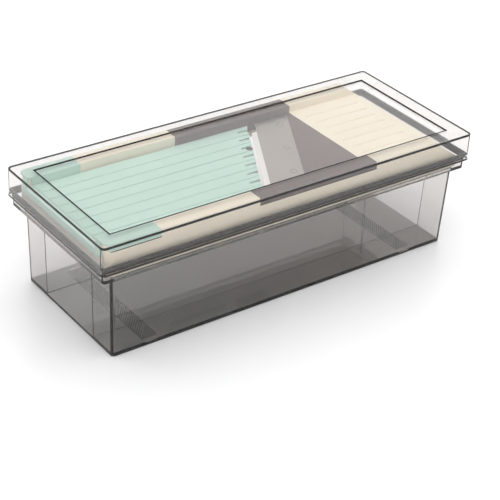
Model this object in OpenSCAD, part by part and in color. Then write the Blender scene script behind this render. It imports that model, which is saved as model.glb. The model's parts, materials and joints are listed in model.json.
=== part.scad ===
// Mandoline slicer stored in its own clear box, under a clear lid.
// +X runs along the slicer from the runway to the landing, +Y to the rear rail, +Z up.
// The origin is the centre of the closed box's footprint, on the surface that it stands on.

/* [Box] */
// Length of the lid and of the closed box, along X
overall_length = 333; // [331:0.5:335]
// Width of the lid and of the closed box, along Y
overall_width = 132.5; // [131.5:0.5:134]
// Height of the closed box
overall_height = 96.4; // [96:0.2:98]
// Length of the box at its base
base_length = 306.5; // [302:0.5:309]
// Width of the box at its base
base_width = 117.5; // [114:0.5:118.5]
// Length of the box under its collar
neck_length = 310.5; // [308:0.5:313]
// Width of the box under its collar
neck_width = 119.5; // [118.5:0.5:120]
// Thickness of the box's walls
box_wall = 2; // [1.8:0.1:2.2]
// Height of the underside of the collar's ledge
ledge_z = 66.4; // [66:0.1:66.8]
// Height of the collar above the underside of its ledge
collar_height = 11.6; // [11:0.1:12]
// How far the collar stands in from the lid's outside
collar_inset = 2.75; // [2.5:0.05:2.9]
// Half the width of the shallow channel along the floor and up the end walls
channel_half = 33; // [25:1:40]

/* [Lid] */
// Height of the lid
lid_height = 22.4; // [20:0.2:23]
// Thickness of the lid's top
lid_top = 2.4; // [2.2:0.1:2.6]
// Thickness of the lid's wall above the collar
lid_wall = 2.2; // [2:0.1:2.6]
// Thickness of the lid's wall at the rib that rests on the collar
lid_seat = 3.6; // [3.4:0.1:3.8]
// Thickness of the lid's wall where it goes round the collar
lid_rim = 1.8; // [1.6:0.1:1.9]
// Radius of the lid's corners
corner_radius = 4; // [3.8:0.2:6]
// Distance from the lid's edge to its sunken panel
panel_inset = 15.4; // [10:0.2:18]
// Depth of the lid's sunken panel
panel_depth = 0.8; // [0.4:0.1:1]

/* [Slicer] */
// Length of the slicer's frame
frame_length = 317.4; // [315:0.2:317.6]
// Width of the slicer over its rails
frame_width = 120; // [119.6:0.1:120.2]
// Width of each rail's top
rail_width = 12; // [11.6:0.1:12.4]
// Distance between the grooves that run along the runway and the landing
groove_pitch = 11.5; // [11:0.1:11.6]

/* [Blade] */
// How far the cutting edge runs along X for each millimetre across
blade_slope = 0.56; // [0.5:0.01:0.58]
// Where the cutting edge crosses the middle of the slicer
edge_x = 9.1; // [8.5:0.1:10]
// Length of the blade along X
blade_run = 36; // [34:0.5:37]
// Thickness of the blade
blade_t = 0.7; // [0.5:0.1:0.8]

/* [Thickness setting] */
// How far the runway tilts down, in degrees
max_tilt = 1.5; // [1:0.1:1.5]
// How far the thickness dial turns, in degrees
dial_turn = 270; // [180:10:270]

/* [Hidden] */

$fn = 48;
mint = [0.75, 0.89, 0.83];
cream = [0.97, 0.93, 0.84];
taupe = [0.55, 0.51, 0.49];
smoke = [0.55, 0.53, 0.52, 0.4];
steel = [0.78, 0.78, 0.78];
grey_rubber = [0.45, 0.45, 0.46];

bite = 1;          // how far a cutting solid runs past the face that it cuts
lap = 0.5;         // how far two solids of one piece run into each other
running = 0.05;    // radial clearance of a pin in a piece that turns or slides on it
seated = 0.02;     // clearance of a pin in the piece that holds it, and of a piece at rest
fine = 0.4;        // clearance between pieces that lie side by side
close = 0.1;       // clearance between a saddle and the rail under it

// Box
foot_height = 0.6;
floor_top = foot_height + 2.4;
channel_depth = 0.6;
ledge_top = ledge_z + box_wall;
collar_top = ledge_z + collar_height;
collar_length = overall_length - 2 * collar_inset;
collar_width = overall_width - 2 * collar_inset;
collar_radius = corner_radius - 1;
base_radius = 3;
strip_x = 118.5;
strip_length = 104;
strip_width = 13;
strip_radius = 2;
strip_bedding = 0.6;
strip_border = 1.2;
hatch_pitch = 3.6;
hatch_depth = 0.35;
hatch_turn = 50;

// Lid
lid_bottom = overall_height - lid_height;
lid_bead = 0.5;
lid_bead_height = 1.8;
seat_rib_height = 1.5;

// Slicer frame
frame_end_gap = 3.55;
frame_left = -collar_length / 2 + box_wall + frame_end_gap;
frame_right = frame_left + frame_length;
frame_bottom = ledge_top + 0.1;
frame_radius = 5;
lid_gap = 1.5;
rail_top = overall_height - lid_top - lid_gap;
rail_out = frame_width / 2;
rail_in = rail_out - rail_width;
side_wall = 2.4;
inner_wall = 2;
inner_wall_bottom = rail_top - 12.5;
deep_wall_bottom = rail_top - 15.5;
deep_wall_end = -136;
landing_top = rail_top - 5.9;
landing_t = 2.4;
landing_right = 138;
slope_top_x = 135;
slope_foot_z = 75.4;
slope_t = 2.2;
slope_fall = (rail_top - slope_foot_z) / (frame_right - slope_top_x);
slope_drop = slope_t * norm([1, slope_fall]);
grip_x = slope_top_x + 12;
grip_half = 27;
grip_width = 1.2;
grip_depth = 0.9;
bar_bottom = frame_bottom + 1.5;
bar_under_runway = [-119, -115];
bar_under_carrier = [60, 64];
bar_under_landing = [112, 115];

// Saddles of the pieces that sit over the rails
saddle_t = 1.2;
skirt_t = 1;
skirt_bottom = rail_top - 3.8;
shadow_gap = 0.8;
cheek_in = rail_in - saddle_t;
cheek_out = rail_in - close;

// Runway and its end cap
runway_top = rail_top - 6.5;
runway_t = 2.5;
runway_bottom = runway_top - runway_t;
cap_left = frame_left - 1.4;
cap_right = -116;
lip_half = 52;
lip_bottom = runway_bottom - 3.5;
lip_radius = 3;
sill_t = 2;
sill_right = frame_left + side_wall + 0.2;
runway_left = sill_right + fine;
runway_half = cheek_in - fine;
runway_end = edge_x - 2.1;
pivot_x = -146;
pivot_z = runway_top - 5.5;
pivot_r = 1.5;
lug_r = 3;
lug_inside = 42;
pin_inside = 41;
rib_x = [-138, -32];
rib_y = [29.2, 30.8];
rib_depth = 2.5;
finger_radius = 2.5;
end_screw = [12.4, 14.8];
end_screw_r = 2.8;
end_screw_shank_r = 1.2;
end_screw_head = 1;
slot_length = 10;
slot_width = 2;
groove_width = 0.9;
groove_depth = 0.5;
grooves = [-3 : 3];
teeth = [-3.5 : 1 : 3.5];

// Blade and carrier
carrier_left = -33;
carrier_right = 74.5;
landing_left = carrier_right + fine;
deck_top = rail_top - 5.6;
deck_t = 2.5;
deck_bottom = deck_top - deck_t;
deck_rib = 4;
seat_x = edge_x + 14;
bevel_run = 4.7;
bevel_end_y = 32.7;
blade_half = 43.8;
rivet_pitch = 32.5;
rivet_x = edge_x + 27.4;
rivet_r = 1.5;
rivet_tail_r = 2.4;
rivet_head_r = [2.7, 1.8];
rivet_head = 0.6;
blade_span = 80;

// Thickness dial
dial_x = -62;
dial_r = 23;
dial_hub_r = 6.5;
dial_screw_r = 2;
dial_scallops = 18;
scallop_r = 2.2;
bridge_half = 6;
bridge_top = frame_bottom + 2.5;
dial_bottom = bridge_top + 0.3;
dial_disc_top = dial_bottom + 3.7;
cam_r = [8, 14];
cam_mid = (cam_r[0] + cam_r[1]) / 2;
foot_r = 2;
foot_peg_r = 1.5;
foot_gap = 0.1;
foot_x = dial_x + cam_mid;
foot_drop = (foot_x - pivot_x) * sin(max_tilt);
cam_top = dial_disc_top + foot_drop + 0.6;
cam_steps = 15;
cam_start = 22.5;
cam_span = dial_turn + 2 * cam_start;

// Julienne comb
comb_x = runway_end - 8.2;
comb_half_y = 56;
comb_post_y = 53.8;
comb_bar_width = 9.2;
comb_bar_bottom = frame_bottom + 1.6;
comb_bar_top = comb_bar_bottom + 2.8;
tooth_tip = comb_bar_top + 8.6;
tooth_length = 3.2;
tooth_t = 0.8;
tooth_bed = 1.6;
post_r = 2;
bracket_z = [inner_wall_bottom - 1, inner_wall_bottom + 2.5];
bracket_half = 4;
comb_post_seat_r = 1.5;
grip_tab = [7, 22];
grip_tab_drop = 1.4;
tooth_land = 0.8;
tooth_rake = 4;

function along(x, y) = x + blade_slope * y;   // a point of a line that runs parallel to the cutting edge
function polar(r, angle) = [r * cos(angle), r * sin(angle)];

module block(low, high) {
    translate(low) cube(high - low);
}

module both_sides() {
    children();
    mirror([0, 1, 0]) children();
}

module cylinder_between(r, z0, z1) {
    translate([0, 0, z0]) cylinder(r = r, h = z1 - z0);
}

module rounded_outline(l, w, r) {
    square([l - 2 * r, w], center = true);
    square([l, w - 2 * r], center = true);
    for (x = [-1, 1], y = [-1, 1])
        translate([x * (l / 2 - r), y * (w / 2 - r)]) circle(r);
}

// Flat plate with rounded corners, centred on the origin in plan
module rounded_plate(l, w, r, z0, z1) {
    translate([0, 0, z0])
        linear_extrude(z1 - z0) rounded_outline(l, w, r);
}

// Rounded block whose length and width grow from z0 to z1
module flared_block(l0, w0, l1, w1, r, z0, z1) {
    translate([0, 0, z0])
        linear_extrude(z1 - z0, scale = [l1 / l0, w1 / w0], slices = 1)
            rounded_outline(l0, w0, r, $fn = 32);
}

// Band between two lines that run parallel to the cutting edge, for |y| up to half
module skew_band(x0, x1, half, z0, z1) {
    translate([0, 0, z0])
        linear_extrude(z1 - z0)
            polygon([[along(x0, -half), -half], [along(x1, -half), -half],
                     [along(x1, half), half], [along(x0, half), half]]);
}

// Bore along Y at the runway's pivot, which ends in the air between each rail's walls
module pivot_bore(clearance) {
    translate([pivot_x, 0, pivot_z]) rotate([90, 0, 0])
        cylinder(r = pivot_r + clearance, h = 2 * (rail_in + inner_wall + bite), center = true);
}

// ---- storage box ----

module storage_box() {
    inside = 2 * box_wall;
    color(smoke)
        difference() {
            union() {
                flared_block(base_length, base_width, neck_length, neck_width, base_radius,
                             foot_height, ledge_z + box_wall / 2);
                rounded_plate(collar_length, collar_width, collar_radius, ledge_z, collar_top);
            }
            flared_block(base_length - inside, base_width - inside, neck_length - inside,
                         neck_width - inside, base_radius - box_wall, floor_top, ledge_top + bite);
            floor_channel();
            rounded_plate(collar_length - inside, collar_width - inside, collar_radius - box_wall,
                          ledge_top, collar_top + bite);
            for (x = [-strip_x, strip_x])
                translate([x, 0, 0])
                    rounded_plate(strip_width + 2 * close, strip_length + 2 * close, strip_radius,
                                  -bite, foot_height + strip_bedding);
        }
}

// Shallow channel that runs along the floor and up both end walls
module floor_channel() {
    reach = 2 * (channel_depth - box_wall);
    translate([0, 0, floor_top - channel_depth])
        linear_extrude(ledge_z - floor_top, slices = 1,
                       scale = [(neck_length + reach) / (base_length + reach), 1])
            square([base_length + reach, 2 * channel_half], center = true);
}

// Strip with a plain border, and slanted grooves across the rest of its underside
module anti_slip_strip(side) {
    inside = [strip_width - 2 * strip_border, strip_length - 2 * strip_border];
    reach = strip_length / 2 + strip_width;
    color(grey_rubber)
        translate([side * strip_x, 0, 0])
            difference() {
                rounded_plate(strip_width, strip_length, strip_radius, 0, foot_height + strip_bedding);
                intersection() {
                    translate([0, 0, -bite])
                        linear_extrude(hatch_depth + bite) square(inside, center = true);
                    for (y = [-reach : hatch_pitch : reach])
                        translate([0, y, 0]) rotate([0, 0, hatch_turn])
                            cube([4 * strip_width, hatch_pitch / 3, 4 * hatch_depth], center = true);
                }
            }
}

// ---- lid ----

// Hollow of the lid, where its wall is t thick, from z0 to z1
module lid_hollow(t, z0, z1) {
    rounded_plate(overall_length - 2 * t, overall_width - 2 * t, max(corner_radius - t, 0.4), z0, z1);
}

module lid() {
    panel = [overall_length / 2 - panel_inset, overall_width / 2 - panel_inset];
    seat_z = collar_top + seated;
    color(smoke)
        difference() {
            union() {
                rounded_plate(overall_length - 2 * lid_bead, overall_width - 2 * lid_bead,
                              corner_radius - lid_bead, lid_bottom, overall_height);
                rounded_plate(overall_length, overall_width, corner_radius, lid_bottom,
                              lid_bottom + lid_bead_height);
            }
            lid_hollow(lid_rim, lid_bottom - bite, seat_z);
            lid_hollow(lid_seat, lid_bottom, seat_z + seat_rib_height + bite);
            lid_hollow(lid_wall, seat_z + seat_rib_height, overall_height - lid_top);
            block([-panel[0], -panel[1], overall_height - panel_depth],
                  [panel[0], panel[1], overall_height + bite]);
        }
}

// ---- slicer frame ----

module rail() {
    inner = rail_in + inner_wall;
    block([frame_left, rail_out - side_wall, frame_bottom], [frame_right, rail_out, rail_top]);
    block([frame_left, rail_in, rail_top - side_wall], [frame_right, rail_out, rail_top]);
    block([frame_left, rail_in, inner_wall_bottom], [frame_right, inner, rail_top]);
    block([frame_left, rail_in, deep_wall_bottom], [deep_wall_end, inner, rail_top]);
    block([frame_left, rail_in, frame_bottom], [frame_left + side_wall, rail_out, rail_top]);
}

// Room for a saddle from x0 to x1, with a shadow gap under its skirt
module saddle_pocket(x0, x1) {
    block([x0 - close, cheek_in, rail_top - saddle_t - close],
          [x1 + close, rail_out + bite, rail_top + bite]);
    block([x0 - close, rail_out - skirt_t - close, skirt_bottom - shadow_gap],
          [x1 + close, rail_out + bite, rail_top + bite]);
}

// Region at or under the slope that takes the frame's end down, moved down by drop
module under_slope(drop) {
    fall_x = frame_right + bite;
    translate([0, rail_out + bite, -drop])
        rotate([90, 0, 0])
            linear_extrude(frame_width + 2 * bite)
                polygon([[frame_left - bite, frame_bottom - bite], [fall_x, frame_bottom - bite],
                         [fall_x, rail_top - (fall_x - slope_top_x) * slope_fall],
                         [slope_top_x, rail_top], [frame_left - bite, rail_top]]);
}

// Sheet under the slope, across the whole frame, with a shallow grip line in it
module slope_sheet() {
    difference() {
        intersection() {
            block([slope_top_x, -rail_out, frame_bottom], [frame_right, rail_out, rail_top]);
            under_slope(0);
        }
        block([slope_top_x - bite, -rail_in, landing_top], [frame_right, rail_in, rail_top + bite]);
        intersection() {
            block([frame_left, -rail_out + side_wall, frame_bottom - bite],
                  [frame_right - side_wall, rail_out - side_wall, rail_top]);
            under_slope(slope_drop);
        }
        intersection() {
            block([grip_x - grip_width / 2, -grip_half, frame_bottom],
                  [grip_x + grip_width / 2, grip_half, rail_top]);
            difference() {
                under_slope(-bite);
                under_slope(grip_depth);
            }
        }
    }
}

module slicer_frame() {
    middle = (frame_left + frame_right) / 2;
    end_half = rail_out - side_wall / 2;
    color(cream)
        difference() {
            intersection() {
                translate([middle, 0, 0])
                    rounded_plate(frame_length, frame_width, frame_radius, frame_bottom, rail_top);
                under_slope(0);
                union() {
                    both_sides() {
                        rail();
                        comb_brackets();
                    }
                    slope_sheet();
                    block([landing_right, -rail_in - lap, landing_top - landing_t],
                          [frame_right, rail_in + lap, landing_top]);
                    block([frame_left, -end_half, frame_bottom],
                          [frame_left + side_wall, end_half, runway_top - sill_t - close]);
                }
            }
            both_sides() {
                saddle_pocket(frame_left - bite, cap_right);
                saddle_pocket(carrier_left, carrier_right);
            }
            pivot_bore(seated);
            post_places() cylinder_between(post_r + running, bracket_z[0] - bite, bracket_z[1] + bite);
        }
}

// Bar from one side wall to the other, over the length x
module cross_bar(x, z0, z1) {
    half = rail_out - side_wall;
    block([x[0], -half, z0], [x[1], half, z1]);
}

// Bars that tie the side walls. The dial's screw goes through the flat one.
module frame_cross_bars() {
    color(cream)
        difference() {
            union() {
                cross_bar(bar_under_runway, bar_bottom, deep_wall_bottom - 3 * close);
                cross_bar([dial_x - bridge_half, dial_x + bridge_half], frame_bottom, bridge_top);
                cross_bar(bar_under_carrier, bar_bottom, deck_bottom - deck_rib - 6 * close);
                cross_bar(bar_under_landing, bar_bottom, inner_wall_bottom);
            }
            translate([dial_x, 0, 0])
                cylinder_between(dial_screw_r + seated, frame_bottom - bite, bridge_top + bite);
        }
}

// Grooved plate between the rails, level with the frame's shelf at the top of the slope
module landing_plate() {
    groove_ends = [landing_left + 7, slope_top_x - bite];
    color(cream)
        difference() {
            block([landing_left, -rail_in, landing_top - landing_t], [landing_right, rail_in, landing_top]);
            for (i = grooves)
                block([groove_ends[0], i * groove_pitch - groove_width / 2, landing_top - groove_depth],
                      [groove_ends[1], i * groove_pitch + groove_width / 2, landing_top + bite]);
        }
}

// Blocks between the side wall and the rail's inner wall, at each place where either side has a post.
// Only the blocks that a post passes through guide it; the others stiffen the rail.
module comb_brackets() {
    for (x = [along(comb_x, -comb_post_y), along(comb_x, comb_post_y)])
        block([x - bracket_half, rail_in + inner_wall - lap, bracket_z[0]],
              [x + bracket_half, rail_out - side_wall + lap, bracket_z[1]]);
}

// ---- runway ----

// Saddle over one rail, from x0 to x1: top, outer skirt and inner cheek
module saddle(x0, x1, cheek_bottom) {
    block([x0, cheek_in, rail_top - saddle_t], [x1, rail_out, rail_top]);
    block([x0, rail_out - skirt_t, skirt_bottom], [x1, rail_out, rail_top]);
    block([x0, cheek_in, cheek_bottom], [x1, cheek_out, rail_top]);
}

// Plate over the frame's end, with rounded lower corners and a dip between the rails
module cap_lip() {
    translate([cap_left, 0, 0])
        rotate([90, 0, 90])
            linear_extrude(frame_left - close - cap_left)
                difference() {
                    union() {
                        translate([-lip_half, lip_bottom + lip_radius])
                            square([2 * lip_half, rail_top - lip_bottom - lip_radius]);
                        translate([-lip_half + lip_radius, lip_bottom])
                            square([2 * (lip_half - lip_radius), lip_radius + lap]);
                        for (y = [-1, 1])
                            translate([y * (lip_half - lip_radius), lip_bottom + lip_radius])
                                circle(lip_radius);
                    }
                    translate([-cheek_in, runway_top]) square([2 * cheek_in, rail_top]);
                }
}

module runway_end_cap() {
    reach = cap_right - cap_left;
    color(mint)
        difference() {
            intersection() {
                translate([cap_left + reach, 0, 0])
                    rounded_plate(2 * reach, frame_width, frame_radius, frame_bottom, rail_top);
                union() {
                    both_sides()
                        difference() {
                            saddle(cap_left, cap_right, deep_wall_bottom);
                            block([cap_left - bite, cheek_in - bite, frame_bottom],
                                  [frame_left + side_wall + close, rail_out - skirt_t, rail_top - saddle_t]);
                        }
                    cap_lip();
                    block([cap_left, -cheek_in - lap, runway_top - sill_t],
                          [sill_right, cheek_in + lap, runway_top]);
                }
            }
            pivot_bore(seated);
        }
}

// Rounds the corner of the finger that starts at y, on the slot's upper (side 1) or lower (side -1) edge
module finger_corner(y, side) {
    slant = norm([1, blade_slope]);
    centre_y = y + side * finger_radius;
    centre = [along(runway_end, centre_y) - finger_radius * slant, centre_y];
    beyond = centre + (finger_radius + bite) * [1, -blade_slope] / slant;
    translate([0, 0, runway_bottom - bite])
        linear_extrude(runway_t + 2 * bite)
            difference() {
                polygon([centre, [centre[0], y - side * bite], [along(runway_end, y) + bite, y - side * bite],
                         beyond]);
                translate(centre) circle(finger_radius);
            }
}

// Open slot for one comb tooth. The finger under the screw's head keeps its corner.
module comb_slot(i) {
    y = i * groove_pitch;
    block([along(runway_end - slot_length, y), y - slot_width / 2, runway_bottom - bite],
          [along(runway_end, y) + 3, y + slot_width / 2, runway_top + bite]);
    for (side = [-1, 1])
        if (abs(y + side * slot_width / 2 - end_screw[1]) > end_screw_r)
            finger_corner(y + side * slot_width / 2, side);
}

module runway_plate() {
    color(mint)
        difference() {
            union() {
                translate([0, 0, runway_bottom])
                    linear_extrude(runway_t)
                        polygon([[runway_left, -runway_half], [along(runway_end, -runway_half), -runway_half],
                                 [along(runway_end, runway_half), runway_half], [runway_left, runway_half]]);
                both_sides() {
                    hinge_lug();
                    block([rib_x[0], rib_y[0], runway_bottom - rib_depth],
                          [rib_x[1], rib_y[1], runway_bottom + close]);
                }
            }
            for (i = grooves)
                block([runway_left - bite, i * groove_pitch - groove_width / 2, runway_top - groove_depth],
                      [overall_length / 2, i * groove_pitch + groove_width / 2, runway_top + bite]);
            for (i = teeth)
                comb_slot(i);
            pivot_bore(running);
            translate([foot_x, 0, 0]) cylinder_between(foot_peg_r + seated, 0, runway_top - bite);
            translate([end_screw[0], end_screw[1], 0]) {
                cylinder(r = end_screw_shank_r + seated, h = overall_height);
                cylinder_between(end_screw_r + seated, runway_top - end_screw_head, overall_height);
            }
        }
}

// Flush screw near the runway's end, with a recess of three pockets in its head
module runway_end_screw() {
    pocket = [1.5, 0.9, 0.5];   // distance from the middle, radius, depth
    color([0.15, 0.15, 0.15])
        translate([end_screw[0], end_screw[1], 0])
            difference() {
                union() {
                    cylinder_between(end_screw_shank_r, runway_bottom, runway_top - end_screw_head / 2);
                    cylinder_between(end_screw_r, runway_top - end_screw_head + seated, runway_top);
                }
                for (angle = [90, 210, 330])
                    translate(polar(pocket[0], angle))
                        cylinder_between(pocket[1], runway_top - pocket[2], runway_top + bite);
            }
}

module hinge_lug() {
    lug_y = [lug_inside, runway_half];
    block([pivot_x - lug_r, lug_y[0], pivot_z], [pivot_x + lug_r, lug_y[1], runway_bottom + close]);
    translate([pivot_x, lug_y[1], pivot_z]) rotate([90, 0, 0]) cylinder(r = lug_r, h = lug_y[1] - lug_y[0]);
}

module runway_pivot_pins() {
    color(steel)
        both_sides()
            translate([pivot_x, rail_in + inner_wall, pivot_z]) rotate([90, 0, 0])
                cylinder(r = pivot_r, h = rail_in + inner_wall - pin_inside);
}

module cam_foot() {
    color("white")
        translate([foot_x, 0, 0]) {
            cylinder_between(foot_r, cam_top + foot_gap, runway_bottom);
            cylinder_between(foot_peg_r, runway_bottom - close, runway_top - bite - running);
        }
}

// ---- blade and carrier ----

module blade_carrier() {
    rib_bottom = deck_bottom - deck_rib;
    color(taupe)
        difference() {
            union() {
                both_sides() saddle(carrier_left, carrier_right, inner_wall_bottom + 2 * close);
                carrier_deck();
                block([carrier_right - 2, -cheek_out, rib_bottom], [carrier_right, cheek_out, deck_top]);
                skew_band(seat_x, seat_x + 3, cheek_in + 2 * close, rib_bottom, deck_top - close);
            }
            rivet_places() cylinder(r = rivet_r + seated, h = overall_height);
        }
}

module carrier_deck() {
    translate([0, 0, deck_bottom])
        linear_extrude(deck_t)
            polygon([[along(seat_x, -cheek_out), -cheek_out], [carrier_right, -cheek_out],
                     [carrier_right, cheek_out], [along(seat_x, cheek_out), cheek_out]]);
}

module rivet_places() {
    for (y = [-rivet_pitch, 0, rivet_pitch])
        translate([along(rivet_x, y), y, 0]) children();
}

module blade() {
    color(steel)
        difference() {
            union() {
                skew_band(edge_x + bevel_run, edge_x + blade_run, blade_half, deck_top, deck_top + blade_t);
                ground_edge();
            }
            rivet_places() cylinder(r = rivet_r + seated, h = overall_height);
        }
}

// Wedge that thins the blade to its cutting edge. It stops short of the blade's rear end.
module ground_edge() {
    slant = atan(blade_slope);
    across = bevel_run * cos(slant);
    tip_t = 0.06;
    intersection() {
        translate([edge_x, 0, deck_top])
            rotate([90, 0, -slant])
                translate([0, 0, -blade_span])
                    linear_extrude(2 * blade_span)
                        polygon([[0, 0], [0, tip_t], [across, blade_t], [across + lap, blade_t],
                                 [across + lap, 0]]);
        block([-blade_span, -blade_half, deck_top - bite], [blade_span, bevel_end_y, deck_top + 2]);
    }
}

module blade_rivets() {
    blade_top = deck_top + blade_t;
    color(steel)
        rivet_places() {
            cylinder_between(rivet_r, deck_bottom, blade_top);
            cylinder_between(rivet_tail_r, deck_bottom - lap, deck_bottom);
            translate([0, 0, blade_top]) cylinder(r1 = rivet_head_r[0], r2 = rivet_head_r[1], h = rivet_head);
        }
}

// ---- thickness dial ----

module thickness_dial() {
    color(taupe)
        translate([dial_x, 0, 0])
            difference() {
                union() {
                    cylinder_between(dial_r, dial_bottom, dial_disc_top);
                    cylinder_between(dial_hub_r, dial_bottom, dial_disc_top + bite);
                    cam_ramp();
                }
                cylinder(r = dial_screw_r + running, h = overall_height);
                for (i = [1 : dial_scallops])
                    translate(polar(dial_r + 1, i * 360 / dial_scallops))
                        cylinder(r = scallop_r, h = overall_height, $fn = 24);
            }
}

// Ramp in click steps. Its top is under the runway's foot at first, and it falls as the dial turns.
// Each layer starts at the ramp's top end, and a longer layer is lower.
module cam_ramp() {
    step = cam_span / cam_steps;
    fall = foot_drop / dial_turn;
    base_z = dial_bottom + bite;
    for (i = [0 : cam_steps - 1]) {
        lead = max(0, (i + 1) * step - cam_start + asin(foot_r / cam_mid));
        outer = [for (k = [0 : i + 1]) polar(cam_r[1], cam_start - k * step)];
        inner = [for (k = [i + 1 : -1 : 0]) polar(cam_r[0], cam_start - k * step)];
        translate([0, 0, base_z])
            linear_extrude(cam_top - lead * fall - base_z)
                polygon(concat(outer, inner));
    }
}

module dial_screw() {
    head = [4, 1.5];        // radius and height
    slot = [1, 0.6];        // width and depth
    color(steel)
        translate([dial_x, 0, frame_bottom])
            difference() {
                union() {
                    cylinder_between(dial_screw_r, -close, dial_disc_top + 3 - frame_bottom);
                    cylinder_between(head[0], -head[1] - close, 0);
                }
                block([-slot[0] / 2, -head[0] - bite, -head[1] - close - bite],
                      [slot[0] / 2, head[0] + bite, -head[1] - close + slot[1]]);
            }
}

module dial_washer() {
    color(steel)
        translate([dial_x, 0, 0])
            difference() {
                cylinder_between(5, bridge_top, dial_bottom - seated);
                cylinder(r = dial_screw_r + close, h = overall_height);
            }
}

module dial_nut() {
    nut_z = dial_disc_top + bite + running;
    color(steel)
        translate([dial_x, 0, 0])
            difference() {
                translate([0, 0, nut_z]) cylinder(r = 4, h = 1.9, $fn = 6);
                cylinder(r = dial_screw_r + seated, h = overall_height);
            }
}

// ---- julienne comb ----

module comb_holder() {
    half = [tooth_length / 2 + seated, tooth_t / 2 + seated];
    color(cream)
        difference() {
            union() {
                skew_band(comb_x - comb_bar_width / 2, comb_x + comb_bar_width / 2, comb_half_y,
                          comb_bar_bottom, comb_bar_top);
                translate([comb_x, 0, 0])
                    rounded_plate(grip_tab[0], grip_tab[1], 3, comb_bar_bottom - grip_tab_drop,
                                  comb_bar_bottom + close);
            }
            for (i = teeth) {
                y = i * groove_pitch;
                block([along(comb_x, y) - half[0], y - half[1], comb_bar_top - tooth_bed],
                      [along(comb_x, y) + half[0], y + half[1], comb_bar_top + bite]);
            }
            post_places() cylinder(r = comb_post_seat_r + seated, h = overall_height);
        }
}

module post_places() {
    for (side = [-1, 1])
        translate([along(comb_x, side * comb_post_y), side * comb_post_y, 0]) children();
}

module comb_teeth() {
    front = -tooth_length / 2;
    back = tooth_length / 2;
    root = comb_bar_top - tooth_bed + seated;
    color(steel)
        for (i = teeth)
            translate([along(comb_x, i * groove_pitch), i * groove_pitch + tooth_t / 2, 0])
                rotate([90, 0, 0])
                    linear_extrude(tooth_t)
                        polygon([[front, root], [back, root], [back, tooth_tip],
                                 [back - tooth_land, tooth_tip], [front, tooth_tip - tooth_rake]]);
}

module comb_guide_posts() {
    color(steel)
        post_places() {
            cylinder_between(comb_post_seat_r, comb_bar_bottom, comb_bar_top);
            cylinder_between(post_r, comb_bar_top, bracket_z[1] + 3 * close);
        }
}

storage_box();
anti_slip_strip(-1);  // anti_slip_strip_left
anti_slip_strip(1);  // anti_slip_strip_right
lid();
slicer_frame();
frame_cross_bars();
landing_plate();
runway_end_cap();
runway_plate();
runway_end_screw();
runway_pivot_pins();
cam_foot();
blade_carrier();
blade();
blade_rivets();
thickness_dial();
dial_screw();
dial_washer();
dial_nut();
comb_holder();
comb_teeth();
comb_guide_posts();
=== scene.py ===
"""Looks of a mandoline slicer that lies on the ledge of a smoky clear box, under a clear lid."""

import enum
import json
import logging
import math
from collections.abc import Callable, Sequence
from dataclasses import dataclass, field

import bmesh
import bpy
from mathutils import Matrix, Vector

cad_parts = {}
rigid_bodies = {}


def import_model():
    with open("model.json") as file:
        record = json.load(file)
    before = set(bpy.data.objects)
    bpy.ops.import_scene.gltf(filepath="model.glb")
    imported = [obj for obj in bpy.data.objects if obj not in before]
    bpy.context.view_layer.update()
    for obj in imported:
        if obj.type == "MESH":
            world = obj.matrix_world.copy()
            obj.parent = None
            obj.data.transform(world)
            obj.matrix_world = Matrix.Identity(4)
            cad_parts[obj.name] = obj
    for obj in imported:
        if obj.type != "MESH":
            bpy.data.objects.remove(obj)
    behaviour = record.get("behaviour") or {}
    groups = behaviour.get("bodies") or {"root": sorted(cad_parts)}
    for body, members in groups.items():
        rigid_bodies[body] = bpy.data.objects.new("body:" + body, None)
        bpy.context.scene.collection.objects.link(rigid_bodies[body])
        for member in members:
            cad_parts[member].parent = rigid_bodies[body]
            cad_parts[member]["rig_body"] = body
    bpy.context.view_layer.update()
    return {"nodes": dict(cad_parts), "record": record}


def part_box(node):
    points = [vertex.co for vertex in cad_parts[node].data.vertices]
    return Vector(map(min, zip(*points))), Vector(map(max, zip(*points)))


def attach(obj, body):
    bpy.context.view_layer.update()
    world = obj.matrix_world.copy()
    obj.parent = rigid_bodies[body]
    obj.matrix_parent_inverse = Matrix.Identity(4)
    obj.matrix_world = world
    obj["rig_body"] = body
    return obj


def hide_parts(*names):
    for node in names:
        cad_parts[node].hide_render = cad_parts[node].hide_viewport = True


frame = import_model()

LOG = logging.getLogger("slicer")
MM = 0.001


def mm(value: float) -> float:
    """Millimetres as metres."""
    return value * MM


NEAR = mm(0.01)                      # heights that differ by less than this are the same
WELD = mm(0.002)                     # corners nearer than this are one corner
SNAP = mm(0.001)                     # how near a cut has to pass a corner to go through it
LEVEL = math.radians(0.5)            # faces that meet at less than this are one flat face
FLAT = math.cos(math.radians(0.3))   # faces whose normals are nearer than this make one flat wall
ARC = 0.5                            # profile of a rounded edge that is part of a circle
MIX_A, MIX_B, MIX_OUT = 6, 7, 2      # the colour sockets of a Mix node, whose names repeat


def linear(colour: str, alpha: float = 1.0) -> tuple[float, float, float, float]:
    """Turns an sRGB hex colour into the linear values that shaders take.

    Args:
        colour: Six hex digits, such as "c4e2d6".
        alpha: The fourth value of the result.

    Returns:
        Red, green, blue and alpha.
    """
    channels = [int(colour[i:i + 2], 16) / 255 for i in (0, 2, 4)]
    toe, slope, offset, power = 0.04045, 12.92, 0.055, 2.4
    lit = [c / slope if c <= toe else ((c + offset) / (1 + offset)) ** power for c in channels]
    return (lit[0], lit[1], lit[2], alpha)


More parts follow.
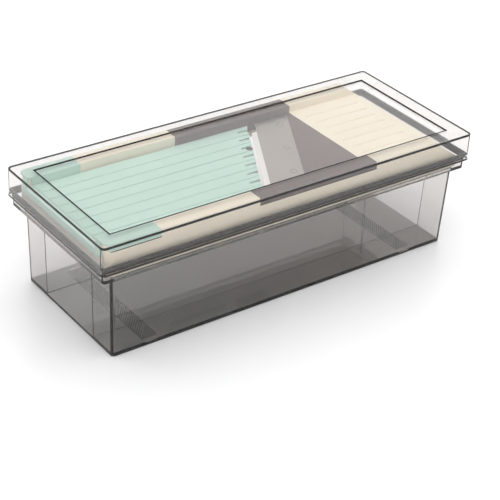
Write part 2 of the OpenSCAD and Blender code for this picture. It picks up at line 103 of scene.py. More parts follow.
def add_node(tree: bpy.types.NodeTree, kind: str, settings: dict | None = None,
             links: dict | None = None) -> bpy.types.Node:
    """Adds a node to a tree, sets it and links its inputs.

    Args:
        tree: A shader's or a Geometry Nodes tree.
        kind: The node's type name.
        settings: Attribute names, or input names, with their values.
        links: Input names or numbers with the output sockets that feed them.

    Returns:
        The new node.
    """
    node = tree.nodes.new(kind)
    for name, value in (settings or {}).items():
        if hasattr(node, name) and name not in node.inputs:
            setattr(node, name, value)
        else:
            node.inputs[name].default_value = value
    for name, socket in (links or {}).items():
        tree.links.new(socket, node.inputs[name])
    return node


# ---- finishes ----


class Surface(enum.Enum):
    """How a plastic's surface was made in its mould, with its least and greatest roughness."""

    POLISHED = (0.20, 0.28)
    SATIN = (0.36, 0.50)
    MATT = (0.62, 0.80)


@dataclass(frozen=True)
class Finish:
    """A material and how its surface was made."""

    name: str

    def shader(self, tree: bpy.types.NodeTree) -> bpy.types.Node:
        """Adds the finish's own nodes and returns the surface shader."""
        raise NotImplementedError

    def material(self) -> bpy.types.Material:
        """Makes the material the first time.

        Returns:
            The material, the same one each time.
        """
        made = bpy.data.materials.get(self.name)
        if made is None:
            made = bpy.data.materials.new(self.name)
            made.use_nodes = True
            tree = made.node_tree
            tree.nodes.clear()
            shader = self.shader(tree)
            output = add_node(tree, "ShaderNodeOutputMaterial",
                              links={"Surface": shader.outputs[0]})
            self.inside(tree, output)
        return made

    def inside(self, tree: bpy.types.NodeTree, output: bpy.types.Node) -> None:
        """Links what fills the piece; most finishes are solid and link nothing."""


@dataclass(frozen=True)
class SmokyClear(Finish):
    """Clear SAN with a grey tint, injection moulded in a polished mould.

    The eye gets sharp gloss and a grey that deepens along a wall; a dark face colour, where given,
    paints shade along its edges and where walls overlap.
    """

    tint: str
    density: float
    # white on clear walls; a darker face colour is painted shade on edges and overlaps
    face: str = "ffffff"
    ior: float = 1.5
    wave_mm: float = 36.0
    wave_depth_mm: float = 0.2
    wave_strength: float = 0.05
    haze: float = 0.012

    def shader(self, tree: bpy.types.NodeTree) -> bpy.types.Node:
        """Adds the clear shader with the slight waviness of a moulded wall.

        Args:
            tree: The material's tree.

        Returns:
            The surface shader.
        """
        place = add_node(tree, "ShaderNodeTexCoord")
        flow = add_node(tree, "ShaderNodeTexNoise", {"Scale": 1 / mm(self.wave_mm), "Detail": 2.0},
                        {"Vector": place.outputs["Object"]})
        wave = add_node(tree, "ShaderNodeBump",
                        {"Strength": self.wave_strength, "Distance": mm(self.wave_depth_mm)},
                        {"Height": flow.outputs["Fac"]})
        haze = add_node(tree, "ShaderNodeMapRange", {"To Min": 0.0, "To Max": self.haze},
                        {"Value": flow.outputs["Fac"]})
        return add_node(tree, "ShaderNodeBsdfPrincipled",
                        {"Base Color": linear(self.face), "IOR": self.ior,
                         "Transmission Weight": 1.0},
                        {"Normal": wave.outputs[0], "Roughness": haze.outputs[0]})

    def inside(self, tree: bpy.types.NodeTree, output: bpy.types.Node) -> None:
        """Fills the wall with the grey tint."""
        smoke = add_node(tree, "ShaderNodeVolumeAbsorption",
                         {"Color": linear(self.tint), "Density": self.density})
        tree.links.new(smoke.outputs[0], output.inputs["Volume"])


@dataclass(frozen=True)
class Moulded(Finish):
    """Opaque plastic, injection moulded, with the fine spark texture of its mould.

    The eye gets a soft sheen that breaks up over the grain, and a slight drift of colour.
    """

    colour: str = "ffffff"
    shade: str = "f0f0f0"
    surface: Surface = Surface.SATIN
    grain_mm: float = 0.35
    ior: float = 1.54
    drift_mm: float = 45.0
    grain_depth_mm: float = 0.05
    grain_strength: float = 0.12

    def shader(self, tree: bpy.types.NodeTree) -> bpy.types.Node:
        """Adds colour drift, spark grain and a roughness that follows the grain.

        Args:
            tree: The material's tree.

        Returns:
            The surface shader.
        """
        place = add_node(tree, "ShaderNodeTexCoord")
        drift = add_node(tree, "ShaderNodeTexNoise", {"Scale": 1 / mm(self.drift_mm), "Detail": 3.0},
                         {"Vector": place.outputs["Object"]})
        grain = add_node(tree, "ShaderNodeTexNoise",
                         {"Scale": 1 / mm(self.grain_mm), "Detail": 2.0},
                         {"Vector": place.outputs["Object"]})
        colour = add_node(tree, "ShaderNodeMix",
                          {"data_type": "RGBA"}, {"Factor": drift.outputs["Fac"]})
        colour.inputs[MIX_A].default_value = linear(self.colour)
        colour.inputs[MIX_B].default_value = linear(self.shade)
        sheen = add_node(tree, "ShaderNodeMapRange",
                         {"To Min": self.surface.value[0], "To Max": self.surface.value[1]},
                         {"Value": grain.outputs["Fac"]})
        bump = add_node(tree, "ShaderNodeBump",
                        {"Strength": self.grain_strength, "Distance": mm(self.grain_depth_mm)},
                        {"Height": grain.outputs["Fac"]})
        shader = add_node(tree, "ShaderNodeBsdfPrincipled", {"IOR": self.ior},
                          {"Roughness": sheen.outputs[0], "Normal": bump.outputs[0]})
        tree.links.new(colour.outputs[MIX_OUT], shader.inputs["Base Color"])
        return shader


@dataclass(frozen=True)
class Steel(Finish):
    """Stainless steel with brush or grinding lines that run one way.

    The eye gets a highlight that is drawn out across the lines.
    """

    colour: str = "b8b4b0"
    line_mm: float = 0.5
    rough: float = 0.32
    strength: float = 0.25
    smoother: float = 0.08
    rougher: float = 0.1
    line_stretch: float = 40.0
    line_depth_mm: float = 0.03

    def shader(self, tree: bpy.types.NodeTree) -> bpy.types.Node:
        """Adds lines drawn long one way by a stretched noise.

        Args:
            tree: The material's tree.

        Returns:
            The surface shader.
        """
        place = add_node(tree, "ShaderNodeTexCoord")
        across = 1 / mm(self.line_mm)
        along = across / self.line_stretch
        stretch = add_node(tree, "ShaderNodeMapping", {"Scale": (across, along, along)},
                           {"Vector": place.outputs["Object"]})
        lines = add_node(tree, "ShaderNodeTexNoise", {"Scale": 1.0, "Detail": 4.0},
                         {"Vector": stretch.outputs[0]})
        sheen = add_node(tree, "ShaderNodeMapRange",
                         {"To Min": self.rough - self.smoother,
                          "To Max": self.rough + self.rougher},
                         {"Value": lines.outputs["Fac"]})
        bump = add_node(tree, "ShaderNodeBump",
                        {"Strength": self.strength, "Distance": mm(self.line_depth_mm)},
                        {"Height": lines.outputs["Fac"]})
        return add_node(tree, "ShaderNodeBsdfPrincipled",
                        {"Base Color": linear(self.colour), "Metallic": 1.0},
                        {"Roughness": sheen.outputs[0], "Normal": bump.outputs[0]})


# Lightly tinted, so that the slicer shows through it in nearly its own colours.
LID_CLEAR = SmokyClear("SAN light smoke, polished mould", "99856a", 62.0)
# Clear in one wall, and a deep warm grey where several walls lie behind one another.
BOX_CLEAR = SmokyClear("SAN smoke, polished mould", "998b7c", 118.0)
# Painted shade: a dark face colour on the edges stands for the light that is lost in an edge, and
# gives the dark outline of clear plastic.
EDGE_SHADE_CLEAR = SmokyClear("SAN smoke, painted dark edge", "998b7c", 118.0, face="1c1a19")
# Painted shade: a grey face colour where the lid's rim and the box's collar lie one behind the
# other.
OVERLAP_SHADE_CLEAR = SmokyClear("SAN smoke, painted shade behind the lid's rim", "998b7c", 118.0, face="5a5651")
# Painted shade: a thin, dull, nearly black line where the plastic steps.
PAINTED_SHADE_LINE = Moulded("SAN smoke, painted shade line beside a step", "121110", "171615", Surface.MATT, ior=1.2)
# A cool pale green with a soft sheen.
MINT = Moulded("ABS mint, spark-textured mould", "c6e6da", "bcdfd2")
# A warm off-white with a soft sheen.
CREAM = Moulded("ABS cream, spark-textured mould", "fff6e4", "fbf0da")
# Painted shade where shade gathers under a skirt's lower edge.
CREAM_GAP_SHADE = Moulded("ABS cream, painted shade in the skirts' gap", "5f5548", "574d41")
# A warm dark brown-grey, which frames the bright blade.
TAUPE = Moulded("ABS taupe, spark-textured mould", "5a443f", "533e39")
# A harder, cooler white than the cream.
ACETAL = Moulded("acetal white, machined", "e9e9e6", "e2e2df")
# A small black dot with a sharp highlight.
BLACK = Moulded("nylon black, moulded", "1c1c1c", "262626", Surface.POLISHED)
# A dull grey that catches light on the ribs' tops.
SILICONE = Moulded("silicone grey, moulded", "9a9592", "8f8a87", Surface.MATT, grain_mm=0.8)
# Painted shade between the ribs: a dark colour which makes the hatching show through the box's
# floor.
SILICONE_BED_SHADE = Moulded("silicone grey, painted shade between the ribs", "2c2928", "262322", Surface.MATT,
                       grain_mm=0.8)
# A mid grey with a highlight drawn out across the blade.
BLADE_STEEL = Steel("stainless steel, brushed", "a29b96")
# The ground cutting edge, its own finish, painted light to stand for the bright highlight along it.
GROUND_STEEL_AND_HIGHLIGHT = Steel("stainless steel, ground edge with painted highlight", "e6e4e2", line_mm=0.3, rough=0.42,
                     strength=0.15)
# Bright round highlights on small turned pieces.
PIN_STEEL = Steel("stainless steel, turned", "b0aeac", line_mm=0.3)
# A ring of light round each rivet's dimple.
RIVET_STEEL = Steel("stainless steel, set rivet", "8a8683", line_mm=0.3, rough=0.24)


def dress(piece: bpy.types.Object, slot: str, *finishes: Finish) -> None:
    """Gives a piece its finishes, in the order of its material slots.

    Args:
        piece: The piece.
        slot: The record's material slot; not used.
        finishes: One finish for each material index on the mesh.
    """
    mesh = piece.data
    chosen = [face.material_index for face in mesh.polygons]
    mesh.materials.clear()
    for finish in finishes:
        mesh.materials.append(finish.material())
    mesh.polygons.foreach_set("material_index", chosen)


# ---- meshes ----


def new_piece(name: str, mesh: bpy.types.Mesh) -> bpy.types.Object:
    """Links a mesh to the scene as an object at the origin.

    Args:
        name: The object's name.
        mesh: Its mesh.

    Returns:
        The object.
    """
    piece = bpy.data.objects.new(name, mesh)
    bpy.context.scene.collection.objects.link(piece)
    return piece


def flatten(source: bpy.types.Object, name: str) -> bpy.types.Object:
    """Turns an object with modifiers into a plain mesh piece and removes the source.

    Args:
        source: The object whose modifiers are carried out.
        name: The new piece's name.

    Returns:
        The plain piece.
    """
    bpy.context.view_layer.update()
    graph = bpy.context.evaluated_depsgraph_get()
    mesh = bpy.data.meshes.new_from_object(source.evaluated_get(graph), depsgraph=graph)
    mesh.name = name
    old = source.data
    bpy.data.objects.remove(source)
    bpy.data.meshes.remove(old)
    return new_piece(name, mesh)


Chooser = Callable[[bmesh.types.BMFace], int]
Picker = Callable[[bmesh.types.BMEdge], bool]
Plane = tuple[Vector, Vector]
X_AXIS, Y_AXIS, Z_AXIS = Vector((1, 0, 0)), Vector((0, 1, 0)), Vector((0, 0, 1))


@dataclass(frozen=True)
class Rounding:
    """How sharp edges are rounded, and which of them. Rounded faces get material index 1.

    A face's index is changed later by a chooser, which reads the 1 as a sign of rounding.
    """

    width: float
    segments: int = 2
    pick: Picker = lambda edge: True

    def carry_out(self, work: bmesh.types.BMesh) -> None:
        """Rounds the tagged edges that this rounding picks, and clears their tags.

        Args:
            work: The mesh, with its sharp edges tagged.
        """
        edges = [e for e in work.edges if e.tag and self.pick(e)]
        for edge in edges:
            edge.tag = False
        bmesh.ops.bevel(work, geom=edges, offset=self.width, segments=self.segments, profile=ARC,
                        affect="EDGES", clamp_overlap=True, material=1)


def flat_kept_normals(work: bmesh.types.BMesh, sharp: float) -> list[Vector]:
    """Works out shading normals that keep flat walls flat and blend round the rounded edges.

    Args:
        work: The mesh, with its normals up to date.
        sharp: The angle between faces from which they don't blend, in degrees.

    Returns:
        One normal for each face corner, in order.
    """
    area = {}
    for start in work.faces:
        if start in area:
            continue
        flat, queue = {start}, [start]
        while queue:
            face = queue.pop()
            for other in (f for e in face.edges for f in e.link_faces):
                if other not in flat and other.normal.dot(start.normal) > FLAT:
                    flat.add(other)
                    queue.append(other)
        total = sum(f.calc_area() for f in flat)
        area.update((f, total) for f in flat)
    limit = math.cos(math.radians(sharp))
    normals = []
    for face in work.faces:
        for corner in face.loops:
            near = [f for f in corner.vert.link_faces if f.normal.dot(face.normal) > limit]
            blend = sum((f.normal * area[f] for f in near), Vector())
            normals.append(blend.normalized() if blend.length else face.normal.copy())
    return normals


def softened(name: str, node: str, *roundings: Rounding, sharp: float = 28.0,
             choose: Chooser | None = None, cuts: Sequence[Plane] = ()) -> bpy.types.Object:
    """Copies a CAD node's mesh, closes it up and rounds its sharp edges.

    Args:
        name: The new piece's name.
        node: The CAD node to copy.
        roundings: Roundings in order. Each takes its pick of the edges that are left.
        sharp: The least angle of a sharp edge, in degrees.
        choose: Gives the material index of a face.
        cuts: Planes, each a point and a normal, that divide faces for choose to tell apart.

    Returns:
        The new piece. It replaces the node and rides on the node's body.
    """
    original = frame["nodes"][node]
    mesh = original.data.copy()
    work = bmesh.new()
    work.from_mesh(mesh)
    bmesh.ops.remove_doubles(work, verts=work.verts, dist=WELD)
    bmesh.ops.dissolve_limit(work, angle_limit=LEVEL, verts=work.verts, edges=work.edges)
    for point, normal in cuts:
        geometry = [*work.verts, *work.edges, *work.faces]
        bmesh.ops.bisect_plane(work, geom=geometry, dist=SNAP, plane_co=point, plane_no=normal)
    for edge in work.edges:
        edge.tag = edge.is_manifold and edge.calc_face_angle(0.0) > math.radians(sharp)
    for rounding in roundings:
        rounding.carry_out(work)
    work.normal_update()
    for face in work.faces:
        face.smooth = True
        face.material_index = choose(face) if choose else 0
    normals = flat_kept_normals(work, sharp)
    work.to_mesh(mesh)
    work.free()
    mesh.name = name
    mesh.normals_split_custom_set(normals)
    piece = new_piece(name, mesh)
    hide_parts(node)
    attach(piece, original["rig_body"])
    return piece


def turned(name: str, profile: Sequence[tuple[float, float]], steps: int = 32,
           sharp: float = 35.0) -> bpy.types.Object:
    """Turns a closed profile round the Z axis into a solid.

    Args:
        name: The object's name.
        profile: Radius and height of each corner, in metres, from the axis up and back to it.
        steps: How many faces go round.
        sharp: The least angle of an edge that is shaded sharp, in degrees.

    Returns:
        An object at the origin.
    """
    work = bmesh.new()
    ring = [work.verts.new((r, 0, z)) for r, z in profile]
    edges = [work.edges.new(pair) for pair in zip(ring, ring[1:])]
    bmesh.ops.spin(work, geom=ring + edges, cent=(0, 0, 0), axis=(0, 0, 1),
                   angle=math.tau, steps=steps, use_merge=True)
    bmesh.ops.remove_doubles(work, verts=work.verts, dist=SNAP)
    bmesh.ops.recalc_face_normals(work, faces=work.faces)
    for face in work.faces:
        face.smooth = True
    mesh = bpy.data.meshes.new(name)
    work.to_mesh(mesh)
    work.free()
    mesh.set_sharp_from_angle(angle=math.radians(sharp))
    return new_piece(name, mesh)


def extruded(name: str, outline: Sequence[Vector], depth: Vector,
             width: float) -> bpy.types.Object:
    """Makes a prism from a flat outline.

    Args:
        name: The object's name.
        outline: The corners of one end, in order.
        depth: From that end to the other.
        width: How wide its edges are rounded, in metres.

    Returns:
        An object at the origin.
    """
    work = bmesh.new()
    face = work.faces.new([work.verts.new(p) for p in outline])
    grown = bmesh.ops.extrude_face_region(work, geom=[face])["geom"]
    far_end = [v for v in grown if isinstance(v, bmesh.types.BMVert)]
    bmesh.ops.translate(work, vec=depth, verts=far_end)
    bmesh.ops.recalc_face_normals(work, faces=work.faces)
    bmesh.ops.bevel(work, geom=list(work.edges), offset=width, segments=2, profile=ARC,
                    affect="EDGES")
    mesh = bpy.data.meshes.new(name)
    work.to_mesh(mesh)
    work.free()
    return new_piece(name, mesh)


@dataclass
class Row:
    """Copies of one solid along a straight line, by Geometry Nodes."""

    name: str
    count: int
    start: Vector
    step: Vector
    finish: Finish

    def tree(self) -> bpy.types.NodeTree:
        """Builds the tree the first time: copies on a line, made real and given their material.

        Returns:
            The tree, the same one each time.
        """
        made = bpy.data.node_groups.get("row of copies")
        if made is not None:
            return made
        tree = bpy.data.node_groups.new("row of copies", "GeometryNodeTree")
        face = tree.interface
        face.new_socket("Geometry", in_out="INPUT", socket_type="NodeSocketGeometry")
        face.new_socket("Count", in_out="INPUT", socket_type="NodeSocketInt")
        face.new_socket("Start", in_out="INPUT", socket_type="NodeSocketVector")
        face.new_socket("Step", in_out="INPUT", socket_type="NodeSocketVector")
        face.new_socket("Material", in_out="INPUT", socket_type="NodeSocketMaterial")
        face.new_socket("Geometry", in_out="OUTPUT", socket_type="NodeSocketGeometry")
        given = add_node(tree, "NodeGroupInput")
        line = add_node(tree, "GeometryNodeMeshLine", {"mode": "OFFSET"},
                        {"Count": given.outputs["Count"], "Start Location": given.outputs["Start"],
                         "Offset": given.outputs["Step"]})
        copies = add_node(tree, "GeometryNodeInstanceOnPoints",
                          links={"Points": line.outputs["Mesh"],
                                 "Instance": given.outputs["Geometry"]})
        real = add_node(tree, "GeometryNodeRealizeInstances",
                        links={"Geometry": copies.outputs[0]})
        painted = add_node(tree, "GeometryNodeSetMaterial",
                           links={"Geometry": real.outputs[0],
                                  "Material": given.outputs["Material"]})
        add_node(tree, "NodeGroupOutput", links={"Geometry": painted.outputs[0]})
        return tree

    def along(self, solid: bpy.types.Object) -> bpy.types.Object:
        """Repeats a solid along the row.

        Args:
            solid: The solid, which is removed.

        Returns:
            The row, as one plain piece.
        """
        tree = self.tree()
        modifier = solid.modifiers.new("row", "NODES")
        modifier.node_group = tree
        values = {"Count": self.count, "Start": self.start, "Step": self.step,
                  "Material": self.finish.material()}
        for item in tree.interface.items_tree:
            if item.in_out == "INPUT" and item.name in values:
                modifier[item.identifier] = values[item.name]
        return flatten(solid, self.name)


# ---- sub-assemblies ----


@dataclass
class Part:
    """A sub-assembly that builds its pieces and then dresses them."""

    pieces: dict[str, bpy.types.Object] = field(default_factory=dict, init=False)

    def build(self) -> None:
        """Makes the pieces."""
        raise NotImplementedError

    def dress(self) -> None:
        """Gives the pieces their finishes."""
        raise NotImplementedError

    def report(self) -> None:
        """Logs each piece with its number of faces."""
        for name, piece in self.pieces.items():
            LOG.info("%s: %s, %d faces", type(self).__name__, name, len(piece.data.polygons))


@dataclass
class Lid(Part):
    """Clear lid with a sunken panel, a bead round its foot and a rib that rests on the box."""

    outer_rounding: float = mm(0.8)
    rounding: float = mm(0.35)
    panel_line: float = mm(1.3)
    edge_depth: float = mm(1.3)
    bead_height: float = mm(2.0)
    seat_rib: float = mm(1.9)
    seat_under: float = mm(0.1)
    line_depth: float = mm(0.05)
    step_width: float = mm(1)
    level: float = 0.85    # a face is level when its normal is at least this upright

    def panel(self) -> Vector:
        """Measures the sunken panel.

        Returns:
            The far corner of its floor.
        """
        mount = next(m for m in frame["record"]["mounts"] if m["name"] == "lid_panel")
        height = mount["pos_m"][2]
        corners = [v.co for v in frame["nodes"]["lid"].data.vertices]
        floor = [corner for corner in corners if abs(corner.z - height) < NEAR]
        return Vector((max(abs(p.x) for p in floor), max(abs(p.y) for p in floor), height))

    def build(self) -> None:
        """Rounds the moulded edges and gives painted dark shade to those that look dark."""
        low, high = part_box("lid")
        panel = self.panel()
        line_x, line_y = panel.x + self.panel_line, panel.y + self.panel_line
        collar_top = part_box("storage_box")[1].z

        def outer_edge(edge: bmesh.types.BMEdge) -> bool:
            """Picks the edges of the lid's top that aren't the panel's."""
            return all(v.co.z > high.z - NEAR and (abs(v.co.x) > panel.x + self.step_width
                                                   or abs(v.co.y) > panel.y + self.step_width)
                       for v in edge.verts)

        def choose(face: bmesh.types.BMFace) -> int:
            """Tells the painted shade line round the panel and the painted dark edges from the clear
            walls.

            Args:
                face: A face of the lid.

            Returns:
                2 on the painted shade line beside the panel, 1 on a painted dark edge and 0
                elsewhere.
            """
            centre = face.calc_center_median()
            steep = abs(face.normal.z) < self.level
            beside = abs(centre.x) < line_x and abs(centre.y) < line_y
            if centre.z > high.z - self.line_depth and beside:
                return 2
            on_top = centre.z > high.z - self.edge_depth and face.material_index == 1 and steep
            at_foot = centre.z < low.z + self.bead_height and steep
            on_rib = collar_top - self.seat_under < centre.z < collar_top + self.seat_rib
            return 1 if on_top or at_foot or on_rib else 0

        cuts = [(side * line_x * X_AXIS, X_AXIS) for side in (-1, 1)]
        cuts += [(side * line_y * Y_AXIS, Y_AXIS) for side in (-1, 1)]
        self.pieces["lid_shell"] = softened(
            "lid_shell", "lid", Rounding(self.outer_rounding, 3, outer_edge),
            Rounding(self.rounding), choose=choose, cuts=cuts)

    def dress(self) -> None:
        """Clear lid with painted dark shade on its edges and a painted shade line round the panel.
        """
        dress(self.pieces["lid_shell"], "smoky_clear_plastic", LID_CLEAR, EDGE_SHADE_CLEAR, PAINTED_SHADE_LINE)


@dataclass
class StorageBox(Part):
    """Clear box with a collar, a floor channel and two anti-slip strips."""

    rounding: float = mm(0.4)
    foot_rounding: float = mm(0.12)
    collar_height: float = mm(12.5)
    channel_half: float = mm(33)
    channel_line: float = mm(0.9)
    rib_pitch: float = mm(2.6)
    rib_width: float = mm(1.1)
    rib_turn: float = math.radians(50)
    rib_stand: float = mm(0.4)
    rib_rounding: float = mm(0.12)
    border: float = mm(1.4)
    plate_inset: float = mm(0.1)
    edge_band: float = mm(0.1)
    floor_band: float = mm(1)
    line_over: float = mm(0.5)
    upward: float = 0.5          # a face looks up when its normal is at least this upright
    corner_turn: float = 0.55    # a corner's faces look at least this far along both X and Y

    def build(self) -> None:
        """Rounds the box's edges and makes both strips."""
        low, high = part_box("storage_box")
        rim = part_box("lid")[0].z
        line = self.channel_half - self.channel_line

        def foot_edge(edge: bmesh.types.BMEdge) -> bool:
            """Picks the edges that the box stands on."""
            return all(v.co.z < low.z + self.edge_band for v in edge.verts)

        def choose(face: bmesh.types.BMFace) -> int:
            """Tells the painted dark edges, the painted grey overlap band and the channel's painted
            shade lines from the clear walls.

            Args:
                face: A face of the box.

            Returns:
                3 on a painted shade line, 2 on the painted grey band behind the lid's rim, 1 on a
                painted dark edge and 0 elsewhere.
            """
            centre, normal = face.calc_center_median(), face.normal
            rounded = face.material_index == 1
            outward = normal.x * centre.x + normal.y * centre.y > 0
            if centre.z > high.z - self.collar_height:
                on_edge = rounded or centre.z > high.z - self.edge_band
                return 1 if on_edge else 2 if outward and centre.z > rim else 0
            at_corner = outward and min(abs(normal.x), abs(normal.y)) > self.corner_turn
            inner = centre.z > low.z + self.floor_band and (normal.z > self.upward or not outward)
            on_line = inner and line < abs(centre.y) < self.channel_half + self.line_over
            return 3 if on_line else 1 if at_corner else 0

        cuts = [(rim * Z_AXIS, Z_AXIS)] + [(side * line * Y_AXIS, Y_AXIS) for side in (-1, 1)]
        self.pieces["box_shell"] = softened(
            "box_shell", "storage_box", Rounding(self.foot_rounding, 1, foot_edge),
            Rounding(self.rounding), choose=choose, cuts=cuts)
        for side in ("left", "right"):
            self.strip(side)

    def strip(self, side: str) -> None:
        """Makes one strip: a plate with slanted ribs over and under it.

        Args:
            side: "left" or "right".
        """
        node = f"anti_slip_strip_{side}"
        low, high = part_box(node)
        middle = (low + high) / 2
        plate = (low.z + self.rib_stand, high.z - self.rib_stand)
        half = (high.x - low.x) / 2 - self.border
        reach = (high.y - low.y) / 2 - self.border
        run = half * math.tan(self.rib_turn)
        corners = [Vector((-half, -run, 0)), Vector((half, run, 0)),
                   Vector((half, run + self.rib_width, 0)),
                   Vector((-half, -run + self.rib_width, 0))]
        rib = extruded("rib", corners, Vector((0, 0, high.z - low.z)), self.rib_rounding)
        count = int((2 * (reach - run) - self.rib_width) / self.rib_pitch) + 1
        first = middle.y - self.rib_pitch * (count - 1) / 2 - self.rib_width / 2
        ribs = Row(f"{node}_ribs", count, Vector((middle.x, first, low.z)),
                   Vector((0, self.rib_pitch, 0)), SILICONE).along(rib)
        inset = Vector((self.plate_inset, self.plate_inset, 0))
        a, b = low + inset, high - inset
        outline = [Vector((a.x, a.y, plate[0])), Vector((b.x, a.y, plate[0])),
                   Vector((b.x, b.y, plate[0])), Vector((a.x, b.y, plate[0]))]
        base = extruded(f"{node}_plate", outline, Vector((0, 0, plate[1] - plate[0])),
                        self.plate_inset)
        for piece in (ribs, base):
            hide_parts(node)
            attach(piece, "box")
            self.pieces[piece.name] = piece

    def dress(self) -> None:
        """Clear box with painted shade on its edges, overlap band and channel lines, and grey strips
        with painted shade between the ribs.
        """
        for name, piece in self.pieces.items():
            if name == "box_shell":
                dress(piece, "smoky_clear_plastic", BOX_CLEAR, EDGE_SHADE_CLEAR, OVERLAP_SHADE_CLEAR, PAINTED_SHADE_LINE)
            else:
                dress(piece, "grey_silicone", SILICONE if name.endswith("ribs") else SILICONE_BED_SHADE)


@dataclass
class SlicerFrame(Part):
    """Cream frame with its rails and landing, and what is fixed to it."""

    rounding: float = mm(0.6)
    skirt_drop: float = mm(3.8)
    skirt_gap: float = mm(0.9)
    gap_skin: float = mm(0.2)
    gap_depth: float = mm(1.4)

    def build(self) -> None:
        """Rounds the frame, its bars, the landing, the runway's end cap and the pins."""
        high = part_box("slicer_frame")[1]
        skirt_z = high.z - self.skirt_drop

        def choose(face: bmesh.types.BMFace) -> int:
            """Tells the gap under the skirts, which gets painted shade, from the rest.

            Args:
                face: A face of the frame.

            Returns:
                1 for painted shade in the gap and 0 elsewhere.
            """
            centre = face.calc_center_median()
            in_gap = skirt_z - self.skirt_gap < centre.z < skirt_z
            recessed = self.gap_skin < high.y - abs(centre.y) < self.gap_depth
            return 1 if in_gap and recessed else 0

        self.pieces["frame_moulding"] = softened(
            "frame_moulding", "slicer_frame", Rounding(self.rounding), choose=choose,
            cuts=[(skirt_z * Z_AXIS, Z_AXIS)])
        for name, node, width in (("cross_bars", "frame_cross_bars", 0.3),
                                  ("landing_moulding", "landing_plate", 0.15),
                                  ("end_cap_moulding", "runway_end_cap", 0.5),
                                  ("pivot_pins", "runway_pivot_pins", 0.2),
                                  ("dial_screw_turned", "dial_screw", 0.15),
                                  ("dial_washer_pressed", "dial_washer", 0.05),
                                  ("dial_nut_turned", "dial_nut", 0.2)):
            self.pieces[name] = softened(name, node, Rounding(mm(width)))

    def dress(self) -> None:
        """Cream frame with painted shade in the gap under the skirts, mint cap and steel pins."""
        dress(self.pieces["frame_moulding"], "cream_plastic", CREAM, CREAM_GAP_SHADE)
        for name in ("cross_bars", "landing_moulding"):
            dress(self.pieces[name], "cream_plastic", CREAM)
        dress(self.pieces["end_cap_moulding"], "mint_plastic", MINT)
        for name in ("pivot_pins", "dial_screw_turned", "dial_washer_pressed", "dial_nut_turned"):
            dress(self.pieces[name], "pin_steel", PIN_STEEL)


@dataclass
class Runway(Part):
    """Mint plate with grooves and comb slots, its end screw and the foot that rests on the dial."""

    rounding: float = mm(0.25)
    screw_rounding: float = mm(0.12)
    foot_rounding: float = mm(0.2)

    def build(self) -> None:
        """Rounds the plate, the screw and the foot."""
        for name, node, width in (("runway_moulding", "runway_plate", self.rounding),
                                  ("end_screw_head", "runway_end_screw", self.screw_rounding),
                                  ("dial_foot", "cam_foot", self.foot_rounding)):
            self.pieces[name] = softened(name, node, Rounding(width))

    def dress(self) -> None:
        """Mint plate, black screw and white foot."""
        dress(self.pieces["runway_moulding"], "mint_plastic", MINT)
        dress(self.pieces["end_screw_head"], "dark_screw", BLACK)
        dress(self.pieces["dial_foot"], "white_acetal", ACETAL)


@dataclass
class BladeCarrier(Part):
    """Taupe bridge over the rails, with the skewed blade riveted to it."""

    rounding: float = mm(0.6)
    blade_rounding: float = mm(0.05)
    bevel_upward: float = 0.5
    bevel_lean: float = 0.05
    rivet_count: int = 3
    rivet_radius: float = mm(2.7)
    tail: float = mm(0.5)

    def build(self) -> None:
        """Rounds the bridge, gives the blade its ground edge and sets three rivets."""
        self.pieces["carrier_moulding"] = softened("carrier_moulding", "blade_carrier",
                                                   Rounding(self.rounding))

        def choose(face: bmesh.types.BMFace) -> int:
            """Gives 1 on the ground bevel, which looks up and to the runway, and 0 elsewhere."""
            upward, towards_runway = face.normal.z, -face.normal.x
            return 1 if upward > self.bevel_upward and towards_runway > self.bevel_lean else 0

        self.pieces["blade_ground"] = softened("blade_ground", "blade",
                                               Rounding(self.blade_rounding, 1), choose=choose)
        self.rivets()

    def rivets(self) -> None:
        """Sets a row of domed rivets with a dimple along the blade."""
        low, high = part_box("blade_rivets")
        blade_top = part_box("blade")[1].z
        radius = self.rivet_radius
        head = high.z - blade_top
        top = blade_top + head
        profile = [(0, low.z), (radius * 0.8, low.z), (radius * 0.88, low.z + self.tail),
                   (radius * 0.55, low.z + self.tail), (radius * 0.55, blade_top),
                   (radius, blade_top), (radius * 0.97, blade_top + head * 0.45),
                   (radius * 0.72, top), (radius * 0.45, top), (radius * 0.3, top - head * 0.6),
                   (0, top - head * 0.7)]
        first = Vector((low.x + radius, low.y + radius, 0))
        last = Vector((high.x - radius, high.y - radius, 0))
        step = (last - first) / (self.rivet_count - 1)
        row = Row("rivets_set", self.rivet_count, first, step, RIVET_STEEL).along(
            turned("rivet", profile))
        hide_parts("blade_rivets")
        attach(row, "carrier")
        self.pieces["rivets_set"] = row

    def dress(self) -> None:
        """Taupe bridge, brushed blade with a ground edge painted light as a highlight, and set
        rivets.
        """
        dress(self.pieces["carrier_moulding"], "taupe_plastic", TAUPE)
        dress(self.pieces["blade_ground"], "blade_steel", BLADE_STEEL, GROUND_STEEL_AND_HIGHLIGHT)
        dress(self.pieces["rivets_set"], "pin_steel", RIVET_STEEL)


@dataclass
class ThicknessDial(Part):
    """Dial under the runway, with its ramp in click steps."""

    rounding: float = mm(0.3)

    def build(self) -> None:
        """Rounds the dial."""
        self.pieces["dial_moulding"] = softened("dial_moulding", "thickness_dial",
                                                Rounding(self.rounding))

    def dress(self) -> None:
        """Taupe dial."""
        dress(self.pieces["dial_moulding"], "taupe_plastic", TAUPE)


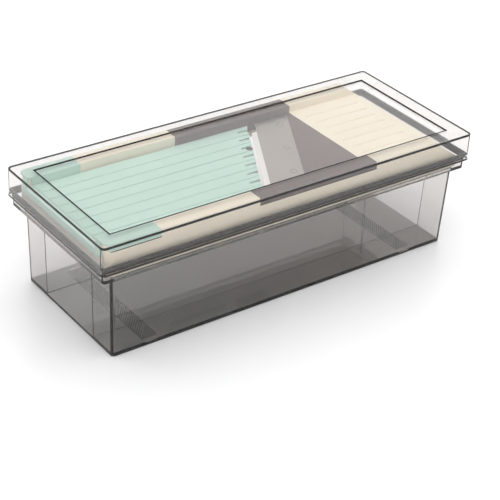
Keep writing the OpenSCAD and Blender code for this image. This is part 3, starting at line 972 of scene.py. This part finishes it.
@dataclass
class Comb(Part):
    """Julienne comb: a bar, eight steel teeth and two guide posts."""

    count: int = 8
    tooth_length: float = mm(3.2)
    tooth_thick: float = mm(0.8)
    tooth_land: float = mm(0.8)
    tooth_rake: float = mm(4.0)
    tooth_rounding: float = mm(0.1)
    rounding: float = mm(0.35)
    post_rounding: float = mm(0.25)

    def build(self) -> None:
        """Rounds the bar and the posts and sets the teeth in their row."""
        self.pieces["comb_bar"] = softened("comb_bar", "comb_holder", Rounding(self.rounding))
        self.pieces["comb_posts"] = softened("comb_posts", "comb_guide_posts",
                                             Rounding(self.post_rounding))
        low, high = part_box("comb_teeth")
        front, side = self.tooth_length / 2, self.tooth_thick / 2
        first = Vector((low.x + front, low.y + side, 0))
        last = Vector((high.x - front, high.y - side, 0))
        outline = [Vector((-front, -side, low.z)), Vector((front, -side, low.z)),
                   Vector((front, -side, high.z)),
                   Vector((front - self.tooth_land, -side, high.z)),
                   Vector((-front, -side, high.z - self.tooth_rake))]
        tooth = extruded("tooth", outline, Vector((0, self.tooth_thick, 0)), self.tooth_rounding)
        step = (last - first) / (self.count - 1)
        teeth = Row("teeth_set", self.count, first, step, BLADE_STEEL).along(tooth)
        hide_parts("comb_teeth")
        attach(teeth, "comb")
        self.pieces["teeth_set"] = teeth

    def dress(self) -> None:
        """Cream bar, steel teeth and posts."""
        dress(self.pieces["comb_bar"], "cream_plastic", CREAM)
        dress(self.pieces["comb_posts"], "pin_steel", PIN_STEEL)
        dress(self.pieces["teeth_set"], "blade_steel", BLADE_STEEL)


@dataclass
class Studio:
    """Pale floor, soft white light and the camera."""

    floor_half: float = 3.0
    floor_colour: str = "d4d4d5"
    floor_rough: float = 0.25
    side_light: float = 1.28
    top_light: float = 2.35
    azimuth: float = -37.99
    elevation: float = 31.52
    roll: float = 3.747
    lens: float = 109.9
    sensor: float = 36.0
    sky_low: float = 0.55
    sky_high: float = 0.85
    place: Vector = field(default_factory=lambda: Vector((-0.61305, -0.79499, 0.62478)))

    def build(self) -> None:
        """Makes the floor, the light and the camera."""
        scene = bpy.context.scene
        scene.view_settings.view_transform = "Standard"
        world = bpy.data.worlds.new("studio")
        scene.world = world
        world.use_nodes = True
        self.sky(world.node_tree)
        self.floor()
        self.camera()

    def sky(self, tree: bpy.types.NodeTree) -> None:
        """Makes a soft white light that is strongest overhead.

        Args:
            tree: The world's tree.
        """
        way = add_node(tree, "ShaderNodeTexCoord")
        height = add_node(tree, "ShaderNodeSeparateXYZ", links={"Vector": way.outputs["Generated"]})
        strength = add_node(tree, "ShaderNodeMapRange",
                            {"interpolation_type": "SMOOTHSTEP", "From Min": self.sky_low,
                             "From Max": self.sky_high, "To Min": self.side_light,
                             "To Max": self.top_light},
                            {"Value": height.outputs["Z"]})
        back = tree.nodes["Background"]
        back.inputs["Color"].default_value = (1, 1, 1, 1)
        tree.links.new(strength.outputs[0], back.inputs["Strength"])

    def floor(self) -> None:
        """Lays the floor."""
        side = self.floor_half
        mesh = bpy.data.meshes.new("floor")
        corners = [(-side, -side, 0), (side, -side, 0), (side, side, 0), (-side, side, 0)]
        mesh.from_pydata(corners, [], [(0, 1, 2, 3)])
        floor = new_piece("floor", mesh)
        paper = bpy.data.materials.new("white laminate")
        paper.use_nodes = True
        shader = paper.node_tree.nodes["Principled BSDF"]
        shader.inputs["Base Color"].default_value = linear(self.floor_colour)
        shader.inputs["Roughness"].default_value = self.floor_rough
        mesh.materials.append(paper)

    def camera(self) -> None:
        """Sets the camera."""
        turn, lift, roll = map(math.radians, (self.azimuth, self.elevation, self.roll))
        back = Vector((math.sin(turn) * math.cos(lift), -math.cos(turn) * math.cos(lift),
                       math.sin(lift)))
        lens = bpy.data.cameras.new("camera")
        lens.lens = self.lens
        lens.sensor_width = self.sensor
        camera = bpy.data.objects.new("camera", lens)
        bpy.context.scene.collection.objects.link(camera)
        camera.rotation_mode = "QUATERNION"
        camera.location = self.place
        facing = (-back).to_track_quat("-Z", "Y").to_matrix() @ Matrix.Rotation(roll, 3, "Z")
        camera.rotation_quaternion = facing.to_quaternion()
        bpy.context.scene.camera = camera


def main() -> None:
    """Builds the object's sub-assemblies in order, then the studio round them."""
    logging.basicConfig(level=logging.INFO, format="%(message)s")
    for part in (StorageBox(), SlicerFrame(), Runway(), ThicknessDial(), Comb(), BladeCarrier(),
                 Lid()):
        part.build()
        part.dress()
        part.report()
    Studio().build()


if __name__ == "__main__":
    main()
